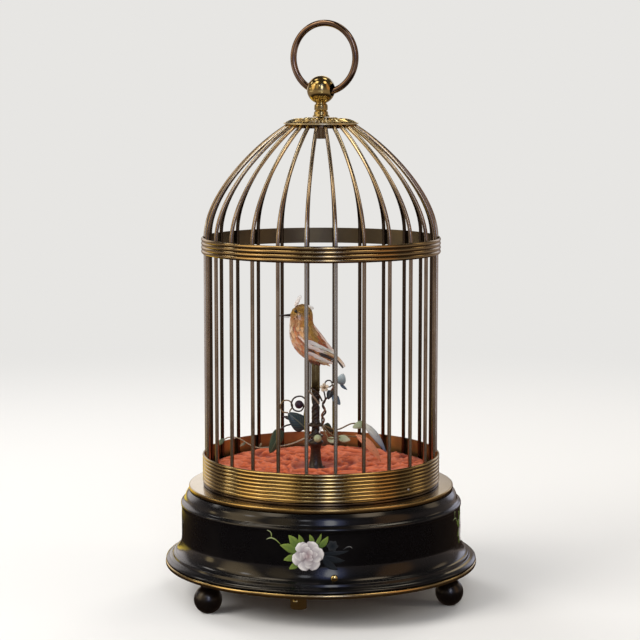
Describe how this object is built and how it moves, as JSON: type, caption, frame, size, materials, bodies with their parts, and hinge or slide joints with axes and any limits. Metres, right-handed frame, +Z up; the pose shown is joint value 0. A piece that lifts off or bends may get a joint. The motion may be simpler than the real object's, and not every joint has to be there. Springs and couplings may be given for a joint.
{
  "type": "singing bird automaton",
  "caption": "Domed wire cage on a black lacquered base, with a feathered bird on a vine stand, lifting ring, start knob, winding key and song movement.",
  "frame": {"origin": "centre of the base, on the surface that the feet stand on", "axes": "+Z up along the cage's axis, -Y out of the front, +X to the right seen from the front; the bird faces -X"},
  "size_m": [0.1582, 0.1582, 0.2894],
  "materials": {
    "bright_brass": "polished, lightly lacquered",
    "aged_brass": "darkened with age",
    "dark_bronze": "dark brown patina",
    "black_lacquer": "gloss black lacquer with painted rose sprays",
    "dark_feet": "dark satin",
    "red_cloth": "creased cloth",
    "brown_trunk": "dark brown satin",
    "green_enamel": "green enamel on wire and sheet",
    "blue_enamel": "blue, orange and pale enamel on wire and sheet",
    "gold_feathers": "small feathers, golden brown to buff",
    "pale_feathers": "pale pink-white feathers",
    "beak_black": "black horn",
    "steel": "bright steel",
    "movement_brass": "matt movement brass",
    "bellows_leather": "thin tan skin on wood",
    "bellows_board": "plain wood board"
  },
  "bodies": {
    "cage": {"finial": "bright_brass", "rosette": "bright_brass", "upper_band": "bright_brass", "lower_band": "bright_brass", "top_plate": "bright_brass", "bottom_plate": "bright_brass", "perch_tube": "bright_brass", "cage_bar_01": "aged_brass", "cage_bar_02": "aged_brass", "cage_bar_03": "aged_brass", "cage_bar_04": "aged_brass", "cage_bar_05": "aged_brass", "cage_bar_06": "aged_brass", "cage_bar_07": "aged_brass", "cage_bar_08": "aged_brass", "cage_bar_09": "aged_brass", "cage_bar_10": "aged_brass", "cage_bar_11": "aged_brass", "cage_bar_12": "aged_brass", "cage_bar_13": "aged_brass", "cage_bar_14": "aged_brass", "cage_bar_15": "aged_brass", "cage_bar_16": "aged_brass", "cage_bar_17": "aged_brass", "cage_bar_18": "aged_brass", "cage_bar_19": "aged_brass", "cage_bar_20": "aged_brass", "cage_bar_21": "aged_brass", "cage_bar_22": "aged_brass", "cage_bar_23": "aged_brass", "cage_bar_24": "aged_brass", "cage_bar_25": "aged_brass", "cage_bar_26": "aged_brass", "crown_disc": "aged_brass", "cage_floor": "aged_brass", "base_casing": "black_lacquer", "foot_left": "dark_feet", "foot_right": "dark_feet", "foot_back": "dark_feet", "floor_cloth": "red_cloth", "tree_trunk": "brown_trunk", "foliage_left": "green_enamel", "foliage_right": "blue_enamel", "bird_body": "gold_feathers", "movement_frame": "movement_brass", "whistle": "movement_brass", "bellows": "bellows_leather"},
    "ring": {"suspension_ring": "dark_bronze"},
    "head": {"bird_head": "gold_feathers"},
    "beak": {"bird_beak": "beak_black"},
    "tail": {"bird_tail": "pale_feathers"},
    "rod": {"control_rod": "steel"},
    "knob": {"start_knob": "bright_brass"},
    "key": {"winding_key": "bright_brass"},
    "barrel": {"mainspring_barrel": "movement_brass"},
    "cams": {"cam_stack": "steel"},
    "wheel": {"drive_wheel": "movement_brass"},
    "fly": {"governor_fly": "steel"},
    "flap": {"bellows_flap": "bellows_board"},
    "piston": {"whistle_piston": "steel"}
  },
  "joints": [
    {"name": "ring_swing", "type": "hinge", "parent": "cage", "child": "ring", "pos_m": [0, 0, 0.25501], "axis": [0.8988, -0.4384, 0], "range_deg": [-110, 110]},
    {"name": "head_turn", "type": "hinge", "parent": "cage", "child": "head", "pos_m": [-0.0096, 0, 0.13831], "axis": [0, 0, 1], "range_deg": [-30, 30]},
    {"name": "beak_open", "type": "hinge", "parent": "head", "child": "beak", "pos_m": [-0.0161, 0, 0.14091], "axis": [0, -1, 0], "range_deg": [0, 14]},
    {"name": "tail_bob", "type": "hinge", "parent": "cage", "child": "tail", "pos_m": [0.007, 0, 0.12131], "axis": [0, -1, 0], "range_deg": [0, 10]},
    {"name": "rod_lift", "type": "slide", "parent": "cage", "child": "rod", "axis": [0, 0, 1], "range_m": [0, 0.0015]},
    {"name": "knob_push", "type": "slide", "parent": "cage", "child": "knob", "axis": [0, 1, 0], "range_m": [0, 0.0018]},
    {"name": "key_turn", "type": "hinge", "parent": "cage", "child": "key", "pos_m": [-0.011, -0.04499, 0.01], "axis": [0, 0, 1], "continuous": true},
    {"name": "barrel_turn", "type": "hinge", "parent": "cage", "child": "barrel", "pos_m": [-0.011, -0.04499, 0.03], "axis": [0, 0, 1], "continuous": true},
    {"name": "cam_turn", "type": "hinge", "parent": "cage", "child": "cams", "pos_m": [0.0034, -0.02783, 0.03], "axis": [0, 0, 1], "continuous": true},
    {"name": "drive_turn", "type": "hinge", "parent": "cage", "child": "wheel", "pos_m": [0.01904, -0.02364, 0.03], "axis": [0, 0, 1], "continuous": true},
    {"name": "fly_turn", "type": "hinge", "parent": "cage", "child": "fly", "pos_m": [0.02599, -0.03355, 0.03], "axis": [0, 0, 1], "continuous": true},
    {"name": "flap_pump", "type": "hinge", "parent": "cage", "child": "flap", "pos_m": [0, 0.0327, 0.02901], "axis": [1, 0, 0], "range_deg": [0, 11]},
    {"name": "piston_slide", "type": "slide", "parent": "cage", "child": "piston", "axis": [1, 0, 0], "range_m": [-0.006, 0.006]}
  ],
  "couplings": [
    {"joint": "beak_open", "follows": "rod_lift", "rad_per_m": 160},
    {"joint": "tail_bob", "follows": "rod_lift", "rad_per_m": 110},
    {"joint": "cam_turn", "follows": "barrel_turn", "ratio": -3},
    {"joint": "drive_turn", "follows": "barrel_turn", "ratio": 8.5714},
    {"joint": "fly_turn", "follows": "barrel_turn", "ratio": -22.857}
  ]
}
